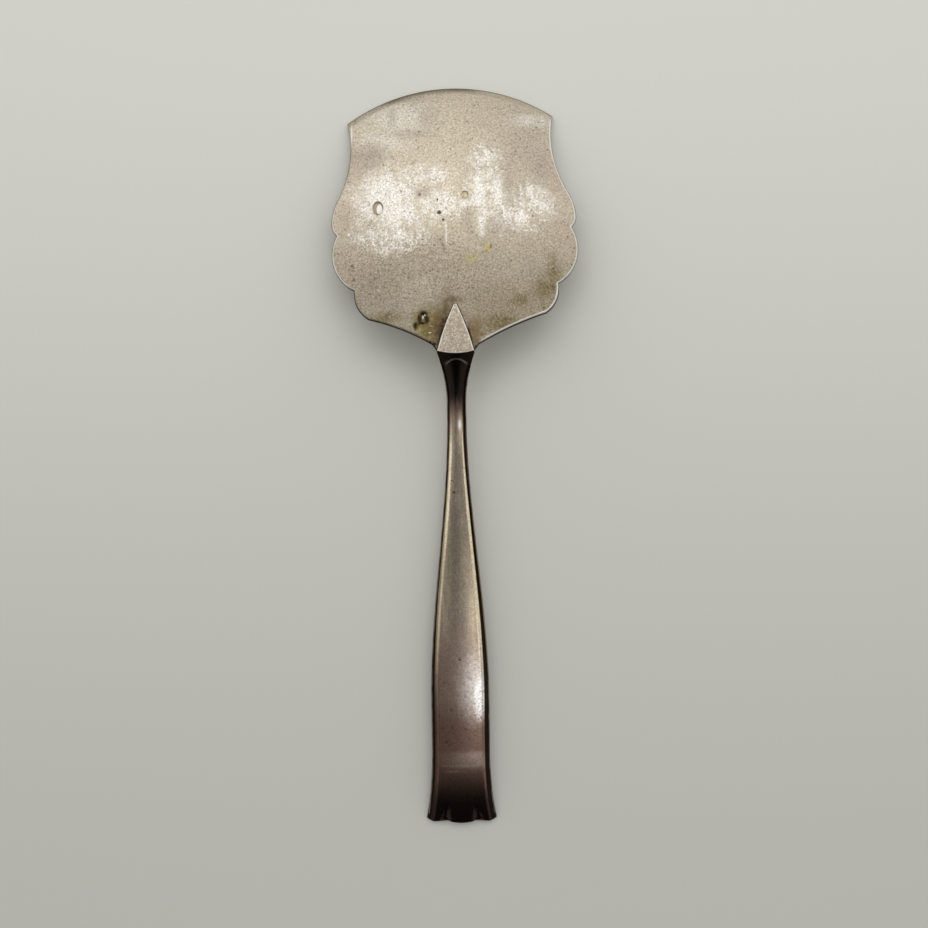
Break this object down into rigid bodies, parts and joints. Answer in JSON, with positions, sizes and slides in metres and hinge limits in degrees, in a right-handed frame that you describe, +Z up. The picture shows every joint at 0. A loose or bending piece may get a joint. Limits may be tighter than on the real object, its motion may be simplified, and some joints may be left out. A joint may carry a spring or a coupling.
{
  "type": "serving spatula",
  "caption": "Small serving spatula lying face down: dished blade with scalloped sides, soldered pointed tongue, arched neck and flat tapering handle with a lobed, fluted end.",
  "frame": {"origin": "on the surface the spatula lies on, under the middle of its bounding box", "axes": "+Y towards the blade's front edge, along the spatula; +Z up, out of its back; +X to the right when the blade points away and the back faces up"},
  "size_m": [0.0524, 0.1594, 0.0126],
  "materials": {
    "blade_silver": "worn satin silver plate with pits, stains and a dark edge",
    "handle_silver": "polished silver plate with brown to black tarnish"
  },
  "bodies": {
    "root": {"blade": "blade_silver", "handle": "handle_silver"}
  },
  "joints": []
}
